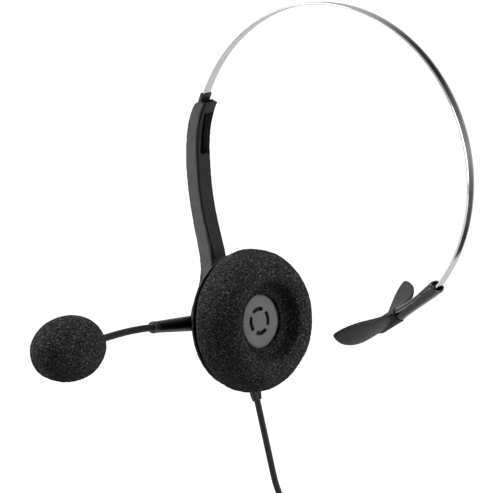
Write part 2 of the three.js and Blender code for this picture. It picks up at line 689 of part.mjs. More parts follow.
function cableBoot() {
  const centre = (r) => new THREE.Vector3(CABLE.at, 0, -r);
  const [along, across] = [new THREE.Vector3(1, 0, 0), new THREE.Vector3(0, 1, 0)];
  const size = [[BOOT.from, 1], [29.8, 1], [30.4, 0.92], [BOOT.to, 0.84]];
  const rings = size.map(([r, k]) => oval(centre(r), across, (k * BOOT.wide) / 2, along,
    (k * BOOT.thick) / 2, 20, 5));
  const bore = new THREE.CylinderGeometry(CABLE.radius + 0.15, CABLE.radius + 0.15, 30, 16);
  bore.rotateX(TURN / 4).translate(CABLE.at, 0, -28);
  return mesh('cable_boot', towardsExit(cut(loft(rings), bore)), 'rubber');
}

// Point on the cable's line at a distance from the cup's centre, moved inwards.
function cablePoint(distance, inwards = 0) {
  return new THREE.Vector3(
    CABLE.at + inwards, distance * Math.sin(CABLE.exit), -distance * Math.cos(CABLE.exit));
}

function cableRod() {
  const start = cablePoint(CABLE.from);
  const bendStart = cablePoint(CABLE.straightTo);
  const middle = cablePoint(CABLE.middle, CABLE.middleBow);
  const corner = cablePoint(PLUG_REACH, CABLE.bow);
  const end = new THREE.Vector3(corner.x, corner.y, PLUG.top - 1);
  const path = new THREE.CurvePath();
  path.add(new THREE.LineCurve3(start, bendStart));
  path.add(new THREE.QuadraticBezierCurve3(bendStart, cablePoint(CABLE.firstPull), middle));
  path.add(new THREE.QuadraticBezierCurve3(middle, corner, end));
  return mesh('cable', rodAlong(path, CABLE.radius, 26, 4), 'rubber');
}

const CLAMP = { at: 17, length: 3.4 };

function cableClamp() {
  const block = box(3.6, 6.4, CLAMP.length, CABLE.at + 0.5, 1.2, -CLAMP.at);
  const bore = new THREE.CylinderGeometry(CABLE.radius + 0.1, CABLE.radius + 0.1, 12, 16);
  bore.rotateX(TURN / 4).translate(CABLE.at, 0, -CLAMP.at);
  const hole = disc(0.75, -3, 12, 12).translate(0, 3.1, -CLAMP.at);
  return mesh('cable_clamp', towardsExit(cut(block, bore, hole)), 'satin');
}

function clampScrew() {
  const top = CABLE.at + 0.5 + 1.8;
  const shape = screw(0.55, 1.2, CABLE.at - 1.2, top + 0.1, top + 0.7).translate(0, 3.1, -CLAMP.at);
  return mesh('clamp_screw', towardsExit(shape), 'zinc');
}

const PLUG_REACH = 93;
const PLUG_X = CABLE.at + CABLE.bow;
const PLUG_Y = PLUG_REACH * Math.sin(CABLE.exit);
const CONTACT = { count: 4, pitch: 1.27, width: 0.5 };
const LATCH = { width: 3.2, thickness: 0.9, hingeZ: PLUG.top - PLUG.length + 1.2, length: 11.5 };

function plugParts() {
  const middle = PLUG.top - PLUG.length / 2;
  const nose = PLUG.top - PLUG.length;
  const body = box(PLUG.depth, PLUG.width, PLUG.length, PLUG_X, PLUG_Y, middle);
  const entry = box(3.4, 5.6, 8, PLUG_X, PLUG_Y, PLUG.top - 0.5);
  const face = PLUG_X + PLUG.depth / 2;
  const slotAt = (i) => PLUG_Y + (i - (CONTACT.count - 1) / 2) * CONTACT.pitch;
  const numbers = Array.from({ length: CONTACT.count }, (_, i) => i);
  const slots = numbers.map((i) => box(2.4, CONTACT.width + 0.2, 5, face, slotAt(i), nose + 2));
  const contacts = numbers.map((i) => mesh(`plug_contact_${i + 1}`,
    box(0.8, CONTACT.width, 4, face - 0.6, slotAt(i), nose + 2.3), 'gold'));
  const back = PLUG_X - PLUG.depth / 2;
  const slant = 11 * DEG;
  const latch = box(LATCH.thickness, LATCH.width, LATCH.length, 0, 0, LATCH.length / 2)
    .rotateY(-slant).translate(back - 0.75, PLUG_Y, LATCH.hingeZ);
  return { body: mesh('plug_body', cut(body, entry, ...slots), 'clear'),
    contacts, latch: mesh('plug_latch', latch, 'clear') };
}

// ---------------------------------------------------------------- temple bar
// Place and heading on the stem's centre line at a distance from its mouth.
function stemFrame(distance) {
  const turn = STEM.headingPad - STEM.headingMouth;
  const bendRadius = STEM.bend / turn;
  const onArc = Math.min(distance, STEM.bend);
  const heading = STEM.headingMouth + onArc / bendRadius;
  const past = Math.max(0, distance - STEM.bend);
  const x = STEM.x - bendRadius * (Math.sin(heading) - Math.sin(STEM.headingMouth)) - past * Math.cos(heading);
  const z = STEM.z + bendRadius * (Math.cos(heading) - Math.cos(STEM.headingMouth)) - past * Math.sin(heading);
  return {
    at: new THREE.Vector3(x, 0, z),
    along: new THREE.Vector3(-Math.cos(heading), 0, -Math.sin(heading)),
    up: new THREE.Vector3(-Math.sin(heading), 0, Math.cos(heading)),
  };
}

const SIDE = new THREE.Vector3(0, 1, 0);

function stemRing(distance, halfWidth, halfHeight, count = 24, power = 2.3) {
  const frame = stemFrame(distance);
  return oval(frame.at, SIDE, halfWidth, frame.up, halfHeight, count, power);
}

function templeStem() {
  const sizes = [[0, 3.35, 2.3], [0.7, 3.6, 2.55], [4, 3.4, 2.45], [9, 3.1, 2.15], [14, 2.95, 2.05],
    [18, 2.95, 2.2], [JOURNAL.start - 0.4, 2.9, 2.5]];
  const outside = loft(sizes.map(([l, a, b]) => stemRing(l, a, b)));
  const journal = loft([JOURNAL.start - 1, STEM.length].map((l) => (
    stemRing(l, JOURNAL.radius, JOURNAL.radius, 24, 2))));
  const mouth = loft([stemRing(-1, 3, 1.75), stemRing(1.8, 2.8, 1.6)]);
  const socket = bandSector(STRIP_IN - 0.35, STRIP_OUT + 0.2, BAND_TIP - 0.3, -30, BAND.width + 0.2);
  const pinHole = bandRod(0.85, STRIP_IN - 8, STRIP_OUT + 0.4, STEM_PIN_AT);
  const screwHole = loft([STEM.length - 5, STEM.length + 2].map((l) => stemRing(l, 0.85, 0.85, 12, 2)));
  return mesh('temple_stem', cut(join(outside, journal), mouth, socket, pinHole, screwHole), 'gloss');
}

function templePin() {
  return mesh('temple_stem_pin', bandRod(0.7, STRIP_IN - 1.2, STRIP_OUT + 0.3, STEM_PIN_AT), 'zinc');
}

// How full a wing is at a share of its reach: waisted over the stem, widest half way, closed at the tip.
function wingFullness(out) {
  return Math.max(0, 1 - out ** PAD_LEAF.tipPower) ** PAD_LEAF.tipRound;
}

// Two swept, rolled wings over a sleeve that turns on the stem's journal.
function templePad() {
  const frame = stemFrame(PAD.at);
  const side = SIDE.clone().applyAxisAngle(frame.along, -PAD.twist);
  const up = frame.up.clone().applyAxisAngle(frame.along, -PAD.twist);
  const rings = [];
  const steps = 22;
  for (let i = 0; i <= steps; i += 1) {
    const reach = Math.sin(((2 * i) / steps - 1) * (TURN / 4));
    const out = Math.abs(reach);
    const roll = PAD.frontRoll + ((PAD.backRoll - PAD.frontRoll) * (1 + reach)) / 2;
    const flare = PAD_LEAF.waist + PAD_LEAF.flare * out;
    const halfChord = PAD_LEAF.tipHalf + (PAD.chord / 2 - PAD_LEAF.tipHalf) * wingFullness(out) * flare;
    const halfThick = PAD_LEAF.tipHalf + (PAD.thickness / 2 - PAD_LEAF.tipHalf) * wingFullness(out);
    const centre = frame.at.clone().addScaledVector(side, PAD.halfSpan * reach)
      .addScaledVector(up, PAD.lift + PAD.rise * reach ** 2)
      .addScaledVector(frame.along, PAD.sweep * reach ** 2);
    const across = frame.along.clone().applyAxisAngle(side, roll);
    const normal = up.clone().applyAxisAngle(side, roll);
    rings.push(oval(centre, across, halfChord, normal, halfThick, 14, 2.2));
  }
  const sleeve = loft([JOURNAL.start, STEM.length - 0.6].map((l) => stemRing(l, 2.8, 2.8, 24, 2)));
  const bore = loft([JOURNAL.start - 1, STEM.length + 0.2].map((l) => (
    stemRing(l, JOURNAL.radius + 0.2, JOURNAL.radius + 0.2, 24, 2))));
  const screwSeat = loft([STEM.length - 0.3, STEM.length + 12].map((l) => stemRing(l, 2.6, 2.6, 20, 2)));
  const overStem = loft([JOURNAL.start - 9, JOURNAL.start - 0.25].map((l) => stemRing(l, 3.25, 3.25, 24, 2)));
  return mesh('temple_pad', cut(join(loft(rings), sleeve), bore, screwSeat, overStem), 'matt');
}

function templeScrew() {
  const start = STEM.length + 0.15;
  const rings = [[STEM.length - 4, 0.65], [start, 0.65], [start + 0.02, 2.3], [start + 0.9, 2]];
  return mesh('temple_pad_screw', loft(rings.map(([l, r]) => stemRing(l, r, r, 16, 2))), 'zinc');
}

// ---------------------------------------------------------------- the headset
const links = gooseneckLinks();
const plug = plugParts();

const boom = group(
  boomRotor(), rotorCap(), frictionWasher(), waveWasher(), boomTube(), boomCollar(),
  links.root, links.middle, links.tip, micHolder(), micCapsule(), micWindscreen(),
);

const earCup = group(
  earCupShell(), ballLiner(), speakerCarrier(), ...shellScrews(), speakerPlate(), ...speakerParts(),
  earCushion(), cableBoot(), cableRod(), cableClamp(), clampScrew(),
  plug.body, ...plug.contacts, plug.latch,
);
earCup.position.set(BALL.at, 0, 0);
earCup.rotation.z = -SWIVEL;

const earSide = group(ballStud(), hubScrew(), boom, earCup);
earSide.rotation.y = -LEAN;

const headset = group(
  headbandStrip(), slideBlock(), slideBlockRivet(),
  armOuterShell(), armInnerCover(), armTopGuide(), detentSpring(), coverScrew(),
  earSide,
  templeStem(), templePin(), templePad(), templeScrew(),
);

const CROWN_FLAT = BAND.z + STRIP_IN * Math.cos((BAND_STEP / 2) * DEG);
headset.position.set(-BAND.x, 0, -CROWN_FLAT);

export default headset;
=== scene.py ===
"""Looks of the office headset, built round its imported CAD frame. Metres, +Z up, -Y forwards."""

import json
import math

import bmesh
import bpy
import numpy as np
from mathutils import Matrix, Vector, noise


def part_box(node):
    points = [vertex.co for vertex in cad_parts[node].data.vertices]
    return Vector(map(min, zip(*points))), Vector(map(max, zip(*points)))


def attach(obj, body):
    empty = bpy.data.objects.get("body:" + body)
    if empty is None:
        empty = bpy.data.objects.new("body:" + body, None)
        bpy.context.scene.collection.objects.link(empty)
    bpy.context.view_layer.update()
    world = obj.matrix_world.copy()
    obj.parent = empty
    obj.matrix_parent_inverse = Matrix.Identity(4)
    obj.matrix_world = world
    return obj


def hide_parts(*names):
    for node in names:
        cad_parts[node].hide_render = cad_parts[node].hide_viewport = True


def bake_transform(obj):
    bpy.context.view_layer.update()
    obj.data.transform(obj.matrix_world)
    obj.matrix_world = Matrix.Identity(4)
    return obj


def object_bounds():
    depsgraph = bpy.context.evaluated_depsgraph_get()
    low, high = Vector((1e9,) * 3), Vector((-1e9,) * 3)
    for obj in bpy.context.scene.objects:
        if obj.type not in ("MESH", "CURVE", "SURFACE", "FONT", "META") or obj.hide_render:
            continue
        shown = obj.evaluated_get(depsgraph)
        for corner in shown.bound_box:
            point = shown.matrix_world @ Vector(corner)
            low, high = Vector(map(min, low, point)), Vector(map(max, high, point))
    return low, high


MM = 0.001

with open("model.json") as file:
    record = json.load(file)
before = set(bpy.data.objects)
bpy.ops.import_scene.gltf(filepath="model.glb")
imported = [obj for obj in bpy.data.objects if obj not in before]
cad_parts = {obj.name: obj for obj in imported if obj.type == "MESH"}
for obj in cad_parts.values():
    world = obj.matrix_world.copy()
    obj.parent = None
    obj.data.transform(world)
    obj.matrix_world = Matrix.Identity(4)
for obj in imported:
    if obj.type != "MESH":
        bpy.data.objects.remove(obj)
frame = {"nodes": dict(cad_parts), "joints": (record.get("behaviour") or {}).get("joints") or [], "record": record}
cad_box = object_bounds()
record = frame["record"]
joints = {j["name"]: j for j in frame["joints"]}


def joint_point(name):
    return Vector(joints[name]["pos_m"])


def joint_axis(name):
    return Vector(joints[name]["axis"]).normalized()


def node_points(name):
    """Every vertex of a CAD node, in the row frame."""
    mesh = frame["nodes"][name].data
    points = np.empty(len(mesh.vertices) * 3)
    mesh.vertices.foreach_get("co", points)
    return points.reshape(-1, 3)


def centre_of(name):
    low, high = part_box(name)
    return (low + high) / 2


# ------------------------------------------------------------------ material helpers
class Nodes:
    """A material's node tree with short calls to add and join nodes."""

    def __init__(self, name):
        self.material = bpy.data.materials.new(name)
        self.material.use_nodes = True
        self.tree = self.material.node_tree
        self.surface = self.tree.nodes["Principled BSDF"]
        coordinates = self.tree.nodes.new("ShaderNodeTexCoord")
        scale = self.tree.nodes.new("ShaderNodeVectorMath")
        scale.operation = "SCALE"
        scale.inputs["Scale"].default_value = 1 / MM
        self.tree.links.new(coordinates.outputs["Object"], scale.inputs[0])
        self.millimetres = scale.outputs["Vector"]

    def link(self, source, target):
        self.tree.links.new(source, target)

    def noise(self, size_mm, detail=4.0, roughness=0.55, vector=None):
        """Noise whose blobs are about size_mm across."""
        node = self.tree.nodes.new("ShaderNodeTexNoise")
        node.inputs["Scale"].default_value = 1 / size_mm
        node.inputs["Detail"].default_value = detail
        node.inputs["Roughness"].default_value = roughness
        self.link(vector or self.millimetres, node.inputs["Vector"])
        return node.outputs["Fac"]

    def cells(self, size_mm, feature="F1"):
        node = self.tree.nodes.new("ShaderNodeTexVoronoi")
        node.feature = feature
        node.inputs["Scale"].default_value = 1 / size_mm
        self.link(self.millimetres, node.inputs["Vector"])
        return node.outputs["Distance"]

    def stretched(self, along):
        """Coordinates squeezed along one direction, for brushed streaks."""
        node = self.tree.nodes.new("ShaderNodeMapping")
        node.inputs["Scale"].default_value = along
        self.link(self.millimetres, node.inputs["Vector"])
        return node.outputs["Vector"]

    def ramp(self, source, low, high, start=0.0, end=1.0):
        """Maps start..end of a value to low..high."""
        node = self.tree.nodes.new("ShaderNodeMapRange")
        node.inputs["From Min"].default_value = start
        node.inputs["From Max"].default_value = end
        node.inputs["To Min"].default_value = low
        node.inputs["To Max"].default_value = high
        self.link(source, node.inputs["Value"])
        return node.outputs["Result"]

    def colours(self, source, stops):
        """Colour ramp from (place, grey or colour) stops."""
        node = self.tree.nodes.new("ShaderNodeValToRGB")
        ramp = node.color_ramp
        while len(ramp.elements) < len(stops):
            ramp.elements.new(0.5)
        for element, (place, colour) in zip(ramp.elements, stops):
            element.position = place
            rgb = colour if isinstance(colour, tuple) else (colour,) * 3
            element.color = (*rgb, 1)
        self.link(source, node.inputs["Fac"])
        return node.outputs["Color"]

    def mix(self, factor, a, b, blend="MIX"):
        node = self.tree.nodes.new("ShaderNodeMix")
        node.data_type = "RGBA"
        node.blend_type = blend
        node.inputs["Factor"].default_value = 1.0
        if isinstance(factor, float):
            node.inputs["Factor"].default_value = factor
        else:
            self.link(factor, node.inputs["Factor"])
        self.link(a, node.inputs["A"])
        self.link(b, node.inputs["B"])
        return node.outputs["Result"]

    def bump(self, height, depth_mm, strength=1.0, below=None):
        node = self.tree.nodes.new("ShaderNodeBump")
        node.inputs["Strength"].default_value = strength
        node.inputs["Distance"].default_value = depth_mm * MM
        self.link(height, node.inputs["Height"])
        if below is not None:
            self.link(below, node.inputs["Normal"])
        return node.outputs["Normal"]

    def edge_wear_and_highlight(self, radius_mm):
        """About 1 on edges and 0 on flats, from how far a rounded normal leaves the true one."""
        bevel = self.tree.nodes.new("ShaderNodeBevel")
        bevel.inputs["Radius"].default_value = radius_mm * MM
        bevel.samples = 4
        geometry = self.tree.nodes.new("ShaderNodeNewGeometry")
        dot = self.tree.nodes.new("ShaderNodeVectorMath")
        dot.operation = "DOT_PRODUCT"
        self.link(bevel.outputs["Normal"], dot.inputs[0])
        self.link(geometry.outputs["Normal"], dot.inputs[1])
        return self.ramp(dot.outputs["Value"], 1.0, 0.0, 0.88, 0.995)

    def open_to_light(self, distance_mm):
        """1 where nothing is near, down to 0 in seams and hollows."""
        node = self.tree.nodes.new("ShaderNodeAmbientOcclusion")
        node.inputs["Distance"].default_value = distance_mm * MM
        node.samples = 6
        return node.outputs["AO"]

    def with_painted_shade(self, colour, distance_mm, darkest=0.1):
        """A colour with painted shade: darkened in seams and hollows, where little is open to light."""
        shade = self.colours(self.open_to_light(distance_mm), [(0.35, darkest), (0.9, 1.0)])
        return self.mix(1.0, colour, shade, "MULTIPLY")

    def set(self, **values):
        for name, value in values.items():
            socket = self.surface.inputs[name.replace("_", " ")]
            if isinstance(value, bpy.types.NodeSocket):
                self.link(value, socket)
            else:
                socket.default_value = value


def moulded_plastic(name, grey, roughness, grain_mm, grain_depth, gloss=0.0, specular=0.5):
    """Injection-moulded plastic: fine spark grain, slow flow marks, edges lighter from handling wear and a painted
    highlight, painted shade in seams.
    """
    m = Nodes(name)
    flow = m.noise(9, 3)
    grain = m.noise(grain_mm, 2, 0.6)
    wear = m.edge_wear_and_highlight(0.35)
    base = m.colours(flow, [(0.3, grey * 0.88), (0.7, grey * 1.1)])
    # Lighter edges: partly handling wear, partly a painted highlight along each edge.
    edge = m.colours(wear, [(0.0, 0.0), (1.0, grey * 0.9 + 0.006)])
    # Painted shade: the colour darkens in seams and grooves, as if shade fell there.
    m.set(Base_Color=m.with_painted_shade(m.mix(1.0, base, edge, "ADD"), 1.6, 0.04))
    rough = m.ramp(m.noise(2.2, 4), roughness * 0.88, roughness * 1.12, 0.3, 0.7)
    m.set(Roughness=rough, Normal=m.bump(grain, grain_depth, 0.8), IOR=1.5)
    m.set(Coat_Weight=gloss, Coat_Roughness=0.06, Specular_IOR_Level=specular)
    return m.material


def polished_steel(name, streak, roughness=0.13, grey=0.62):
    """Rolled strip steel: streaks along the roll, faint smudges, hairline scratches."""
    m = Nodes(name)
    streaks = m.noise(0.12, 2, 0.5, m.stretched(streak))
    smudge = m.noise(6, 3)
    m.set(Metallic=1.0, Base_Color=m.colours(smudge, [(0.3, grey * 0.96), (0.7, grey * 1.03)]))
    blurred = m.ramp(smudge, roughness * 0.8, roughness * 1.25, 0.3, 0.7)
    m.set(Roughness=blurred, Normal=m.bump(streaks, 0.004, 0.35))
    return m.material


def plated(name, colour, roughness=0.3):
    """Zinc, nickel or gold plating: a little orange peel and dull spots."""
    m = Nodes(name)
    peel = m.noise(0.5, 3)
    tint = [tuple(c * k for c in colour) for k in (0.85, 1.0)]
    m.set(Metallic=1.0, Base_Color=m.colours(m.noise(2, 3), [(0.3, tint[0]), (0.7, tint[1])]))
    rough = m.ramp(peel, roughness * 0.7, roughness * 1.4, 0.3, 0.7)
    m.set(Roughness=rough, Normal=m.bump(peel, 0.01, 0.4))
    return m.material


def open_foam(name, cell_mm=0.55):
    """Charcoal open-cell foam: dark pores between lighter walls, matt, faintly fuzzy, with painted shade in its
    hollows.
    """
    m = Nodes(name)
    pores = m.cells(cell_mm)
    clumps = m.noise(cell_mm * 1.4, 6, 0.7)
    tone = m.mix(0.55, pores, clumps)
    walls = m.colours(tone, [(0.26, 0.003), (0.42, 0.018), (0.55, 0.075), (0.72, 0.26)])
    # Painted shade: the foam darkens in the ear cup's hole and other hollows, where shade falls.
    m.set(Base_Color=m.with_painted_shade(walls, 11, 0.05))
    coarse = m.bump(clumps, 0.35, 0.9)
    m.set(Roughness=0.95, Normal=m.bump(pores, 0.28, 0.8, coarse), Specular_IOR_Level=0.1)
    return m.material


def soft_rubber(name, grey, roughness=0.55, band_mm=0.0, specular=0.5):
    """Soft PVC or rubber: slightly greasy, with fine dimples, and waves if band_mm is given."""
    m = Nodes(name)
    dimples = m.noise(0.25, 3, 0.6)
    m.set(Base_Color=m.colours(m.noise(3, 3), [(0.3, grey * 0.85), (0.7, grey * 1.15)]))
    m.set(Roughness=m.ramp(m.noise(1.1, 4), roughness * 0.85, roughness * 1.15, 0.3, 0.7))
    normal = m.bump(dimples, 0.02, 0.6)
    if band_mm:
        waves = m.noise(band_mm, 1, 0.4)
        normal = m.bump(waves, 0.05, 0.5, normal)
    m.set(Normal=normal, Specular_IOR_Level=specular)
    return m.material


def pressed_felt(name, grey):
    m = Nodes(name)
    fibres = m.noise(0.3, 8, 0.75)
    m.set(Base_Color=m.colours(fibres, [(0.3, grey * 0.6), (0.7, grey * 1.3)]))
    m.set(Roughness=1.0, Normal=m.bump(fibres, 0.1, 0.9), Sheen_Weight=0.3)
    return m.material


def clear_plastic(name):
    m = Nodes(name)
    m.set(Base_Color=(0.9, 0.92, 0.93, 1), Transmission_Weight=0.85, IOR=1.58)
    ripple = m.noise(1.5, 2)
    m.set(Roughness=m.ramp(ripple, 0.06, 0.16, 0.3, 0.7), Normal=m.bump(ripple, 0.02, 0.3))
    return m.material


def lacquered_board(name):
    m = Nodes(name)
    tracks = m.cells(1.6, "DISTANCE_TO_EDGE")
    m.set(Base_Color=m.colours(tracks, [(0.05, (0.1, 0.24, 0.08)), (0.12, (0.01, 0.07, 0.025))]))
    m.set(Roughness=0.3, Normal=m.bump(tracks, 0.03, 0.5))
    return m.material


MATERIALS = {
    "strip": polished_steel("strip steel", (0.02, 1.0, 0.02)),
    "spring": polished_steel("spring steel", (1.0, 0.05, 1.0), 0.22, 0.5),
    "zinc": plated("zinc plate", (0.55, 0.56, 0.58)),
    "gold": plated("gold flash", (0.83, 0.6, 0.22), 0.2),
    "arm": moulded_plastic("arm plastic", 0.016, 0.38, 0.12, 0.012),
    "cover": moulded_plastic("cover plastic", 0.012, 0.5, 0.14, 0.018, specular=0.22),
    "boom": moulded_plastic("boom plastic", 0.006, 0.3, 0.15, 0.008, specular=0.35),
    "gloss": moulded_plastic("gloss plastic", 0.006, 0.14, 0.6, 0.004, 0.5),
    "matt": moulded_plastic("matt plastic", 0.014, 0.5, 0.16, 0.025, specular=0.35),
    "plate": moulded_plastic("plate plastic", 0.26, 0.5, 0.14, 0.02),
    "foam": open_foam("charcoal foam"),
    "neck": soft_rubber("gooseneck sleeve", 0.008, 0.5, 0.9, 0.3),
    "rubber": soft_rubber("soft PVC", 0.008, 0.42, 1.4, 0.35),
    "felt": pressed_felt("dark felt", 0.02),
    "board": lacquered_board("lacquered board"),
    "film": moulded_plastic("film", 0.25, 0.25, 0.4, 0.004),
    "clear": clear_plastic("clear plastic"),
}


def wear(obj, material):
    obj.data.materials.clear()
    obj.data.materials.append(MATERIALS[material])


# ------------------------------------------------------------------ mesh helpers
WELD_DISTANCE = 0.005 * MM
SMOOTH_FACTOR = 0.5
HARD_EDGE = math.radians(35)  # edges of machined parts that stay sharp


def new_object(name, vertices, faces):
    mesh = bpy.data.meshes.new(name)
    mesh.from_pydata([tuple(v) for v in vertices], [], faces)
    mesh.validate()
    obj = bpy.data.objects.new(name, mesh)
    bpy.context.scene.collection.objects.link(obj)
    return obj


def shade_smooth(obj):
    obj.data.polygons.foreach_set("use_smooth", [True] * len(obj.data.polygons))


def apply_modifiers(obj):
    """Bakes every modifier of a new piece into its mesh."""
    evaluated = obj.evaluated_get(bpy.context.evaluated_depsgraph_get())
    mesh = bpy.data.meshes.new_from_object(evaluated)
    obj.modifiers.clear()
    old = obj.data
    obj.data = mesh
    bpy.data.meshes.remove(old)


def copy_of(node, name):
    """A new object with a copy of a CAD node's mesh."""
    obj = bpy.data.objects.new(name, frame["nodes"][node].data.copy())
    obj.data.materials.clear()
    bpy.context.scene.collection.objects.link(obj)
    return obj


def weld(obj):
    mesh = bmesh.new()
    mesh.from_mesh(obj.data)
    bmesh.ops.remove_doubles(mesh, verts=mesh.verts, dist=WELD_DISTANCE)
    mesh.to_mesh(obj.data)
    mesh.free()


def rounded_copy(node, name, voxel_mm, rounds, keep=None):
    """A copy of a CAD shape, remeshed and smoothed; keep is the share of its faces that stay."""
    obj = copy_of(node, name)
    weld(obj)
    remesh = obj.modifiers.new("skin", "REMESH")
    remesh.mode = "VOXEL"
    remesh.voxel_size = voxel_mm * MM
    smooth = obj.modifiers.new("round", "SMOOTH")
    smooth.factor = SMOOTH_FACTOR
    smooth.iterations = rounds
    if keep is not None:
        fewer = obj.modifiers.new("fewer", "DECIMATE")
        fewer.ratio = keep
    bpy.context.view_layer.update()
    apply_modifiers(obj)
    return obj


def dress(obj, material, body, node):
    """Finishes a piece that rides on one body in place of one CAD node."""
    shade_smooth(obj)
    wear(obj, material)
    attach(obj, body)
    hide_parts(node)


def moulded_copy(node, name, body, material, slot, voxel_mm, rounds, keep):
    """A CAD shape whose edges come out rounded, as a mould leaves them."""
    dress(rounded_copy(node, name, voxel_mm, rounds, keep), material, body, node)


def ring_tube(name, centres, radius, sides):
    """Round tube with flat ends through a list of centres."""
    vertices, faces = [], []
    count = len(centres)
    reference = None
    for i, centre in enumerate(centres):
        before = centres[max(i - 1, 0)]
        after = centres[min(i + 1, count - 1)]
        tangent = (after - before).normalized()
        if reference is None:
            reference = tangent.orthogonal().normalized()
        reference = (reference - tangent * reference.dot(tangent)).normalized()
        other = tangent.cross(reference)
        for k in range(sides):
            angle = 2 * math.pi * k / sides
            out = reference * math.cos(angle) + other * math.sin(angle)
            vertices.append(centre + out * radius)
    for i in range(count - 1):
        for k in range(sides):
            a, b = i * sides + k, i * sides + (k + 1) % sides
            faces.append((a, b, b + sides, a + sides))
    faces.append(tuple(reversed(range(sides))))
    faces.append(tuple(range((count - 1) * sides, count * sides)))
    return new_object(name, vertices, faces)


def catmull(points, per_span):
    """Smooth line through points."""
    line = []
    ends = [points[0] * 2 - points[1], *points, points[-1] * 2 - points[-2]]
    for i in range(1, len(ends) - 2):
        a, b, c, d = ends[i - 1:i + 3]
        for k in range(per_span):
            t = k / per_span
            line.append(0.5 * (2 * b + (c - a) * t + (2 * a - 5 * b + 4 * c - d) * t * t
                               + (3 * b - a - 3 * c + d) * t ** 3))
    line.append(points[-1].copy())
    return line


# ------------------------------------------------------------------ headband strip
STRIP_STEPS = 320
STRIP_FACE_SPANS = 6  # across each broad face
STRIP_EDGE_SPANS = 4  # round each edge
STRIP_CROWN = 0.1 * MM
# Shares of the half thickness: width of the rounded edge, height of the face and of the edge.
STRIP_EDGE = 0.75
STRIP_FACE_HEIGHT = 0.86
STRIP_EDGE_HEIGHT = 0.8
STRIP_EDGE_DROP = 0.6  # share of the crown by which the edges lie lower


def headband_strip():
    """Rolled strip along the band's arc: slightly crowned across, with rounded edges."""
    centre = joint_point("arm_extend")
    points = node_points("headband_strip")
    reach = np.hypot(points[:, 0] - centre.x, points[:, 2] - centre.z)
    inner, outer = reach.min(), reach.max()
    half_width = (points[:, 1].max() - points[:, 1].min()) / 2
    turned = np.arctan2(points[:, 2] - centre.z, points[:, 0] - centre.x)
    angles = np.unwrap(np.sort(turned % (2 * math.pi)))
    gap = np.argmax(np.diff(angles))
    start, end = angles[gap + 1] - 2 * math.pi, angles[gap]
    middle, half_thick = (inner + outer) / 2, (outer - inner) / 2
    edge = half_thick * STRIP_EDGE
    section = []
    for side, sign in ((1, 1), (-1, -1)):
        for k in range(STRIP_FACE_SPANS + 1):
            across = sign * (1 - 2 * k / STRIP_FACE_SPANS) * (half_width - edge)
            bow = STRIP_CROWN * (1 - (across / half_width) ** 2)
            section.append((across, side * half_thick * STRIP_FACE_HEIGHT + bow - STRIP_CROWN))
        for k in range(1, STRIP_EDGE_SPANS):
            angle = math.pi * k / STRIP_EDGE_SPANS
            out = side * half_thick * STRIP_EDGE_HEIGHT * math.cos(angle)
            section.append((-sign * (half_width - edge + edge * math.sin(angle)),
                            out - STRIP_CROWN * STRIP_EDGE_DROP))
    vertices, faces = [], []
    for i in range(STRIP_STEPS + 1):
        angle = start + (end - start) * i / STRIP_STEPS
        for across, out in section:
            r = middle + out
            x, z = centre.x + r * math.cos(angle), centre.z + r * math.sin(angle)
            vertices.append((x, across, z))
    count = len(section)
    for i in range(STRIP_STEPS):
        for k in range(count):
            a, b = i * count + k, i * count + (k + 1) % count
            faces.append((a, b, b + count, a + count))
    faces.append(tuple(reversed(range(count))))
    faces.append(tuple(range(STRIP_STEPS * count, (STRIP_STEPS + 1) * count)))
    strip = new_object("strip_rolled", vertices, faces)
    fix_normals(strip)
    dress(strip, "strip", "headband", "headband_strip")


def fix_normals(obj):
    mesh = bmesh.new()
    mesh.from_mesh(obj.data)
    bmesh.ops.recalc_face_normals(mesh, faces=mesh.faces)
    mesh.to_mesh(obj.data)
    mesh.free()


# ------------------------------------------------------------------ foam pieces
# Millimetres. The hollow has a middle radius, a half width and a depth, and starts above the plate.
HOLE_WALL = {"radius": 12.7, "reach": 2.1, "depth": 1.7, "above_plate": 2.0}
FOAM_VOXEL = {"ear": 0.55, "mic": 0.5}
FOAM_LUMP = {"size": 7.0, "height": 0.25}
FOAM_GRAIN = {"size": 1.3, "depth": 0.4, "octaves": 3}
FOAM_ROUNDS = 4


def steepen_hole(mesh):
    """Hollows the sloping wall round the speaker plate, which gives the hole a clear rim."""
    plate = centre_of("speaker_plate")
    facing = joint_axis("ear_tilt").cross(joint_axis("ear_swivel")).normalized()
    if facing.x < 0:
        facing.negate()
    for vertex in mesh.vertices:
        offset = vertex.co - plate
        height = offset.dot(facing)
        radius = (offset - facing * height).length / MM
        share = abs(radius - HOLE_WALL["radius"]) / HOLE_WALL["reach"]
        if share < 1 and height > HOLE_WALL["above_plate"] * MM:
            vertex.co -= facing * HOLE_WALL["depth"] * MM * (1 - share * share)
    mesh.update()


def tear_skin(mesh):
    """Makes a skin lumpy and torn at the size of the foam's cells."""
    for vertex, normal in zip(mesh.vertices, [v.normal.copy() for v in mesh.vertices]):
        place = vertex.co / MM
        lump = noise.noise(place / FOAM_LUMP["size"]) * FOAM_LUMP["height"]
        grain = noise.turbulence(place / FOAM_GRAIN["size"], FOAM_GRAIN["octaves"], False,
                                 noise_basis="PERLIN_ORIGINAL")
        vertex.co += normal * (lump - abs(grain) * FOAM_GRAIN["depth"]) * MM


def ear_foam():
    obj = rounded_copy("ear_cushion", "ear_foam", FOAM_VOXEL["ear"], FOAM_ROUNDS)
    steepen_hole(obj.data)
    tear_skin(obj.data)
    dress(obj, "foam", "ear_cup", "ear_cushion")


def mic_foam():
    obj = rounded_copy("mic_windscreen", "mic_foam", FOAM_VOXEL["mic"], FOAM_ROUNDS)
    tear_skin(obj.data)
    dress(obj, "foam", "mic", "mic_windscreen")


# ------------------------------------------------------------------ gooseneck
NECK_RADIUS = 1.3 * MM
NECK_START = 0.4 * MM  # past the collar's centre
NECK_LINE_STEPS = 24  # points per span of the whole line, cut in two half way
NECK_FINE_STEPS = 2
NECK_SIDES = 20


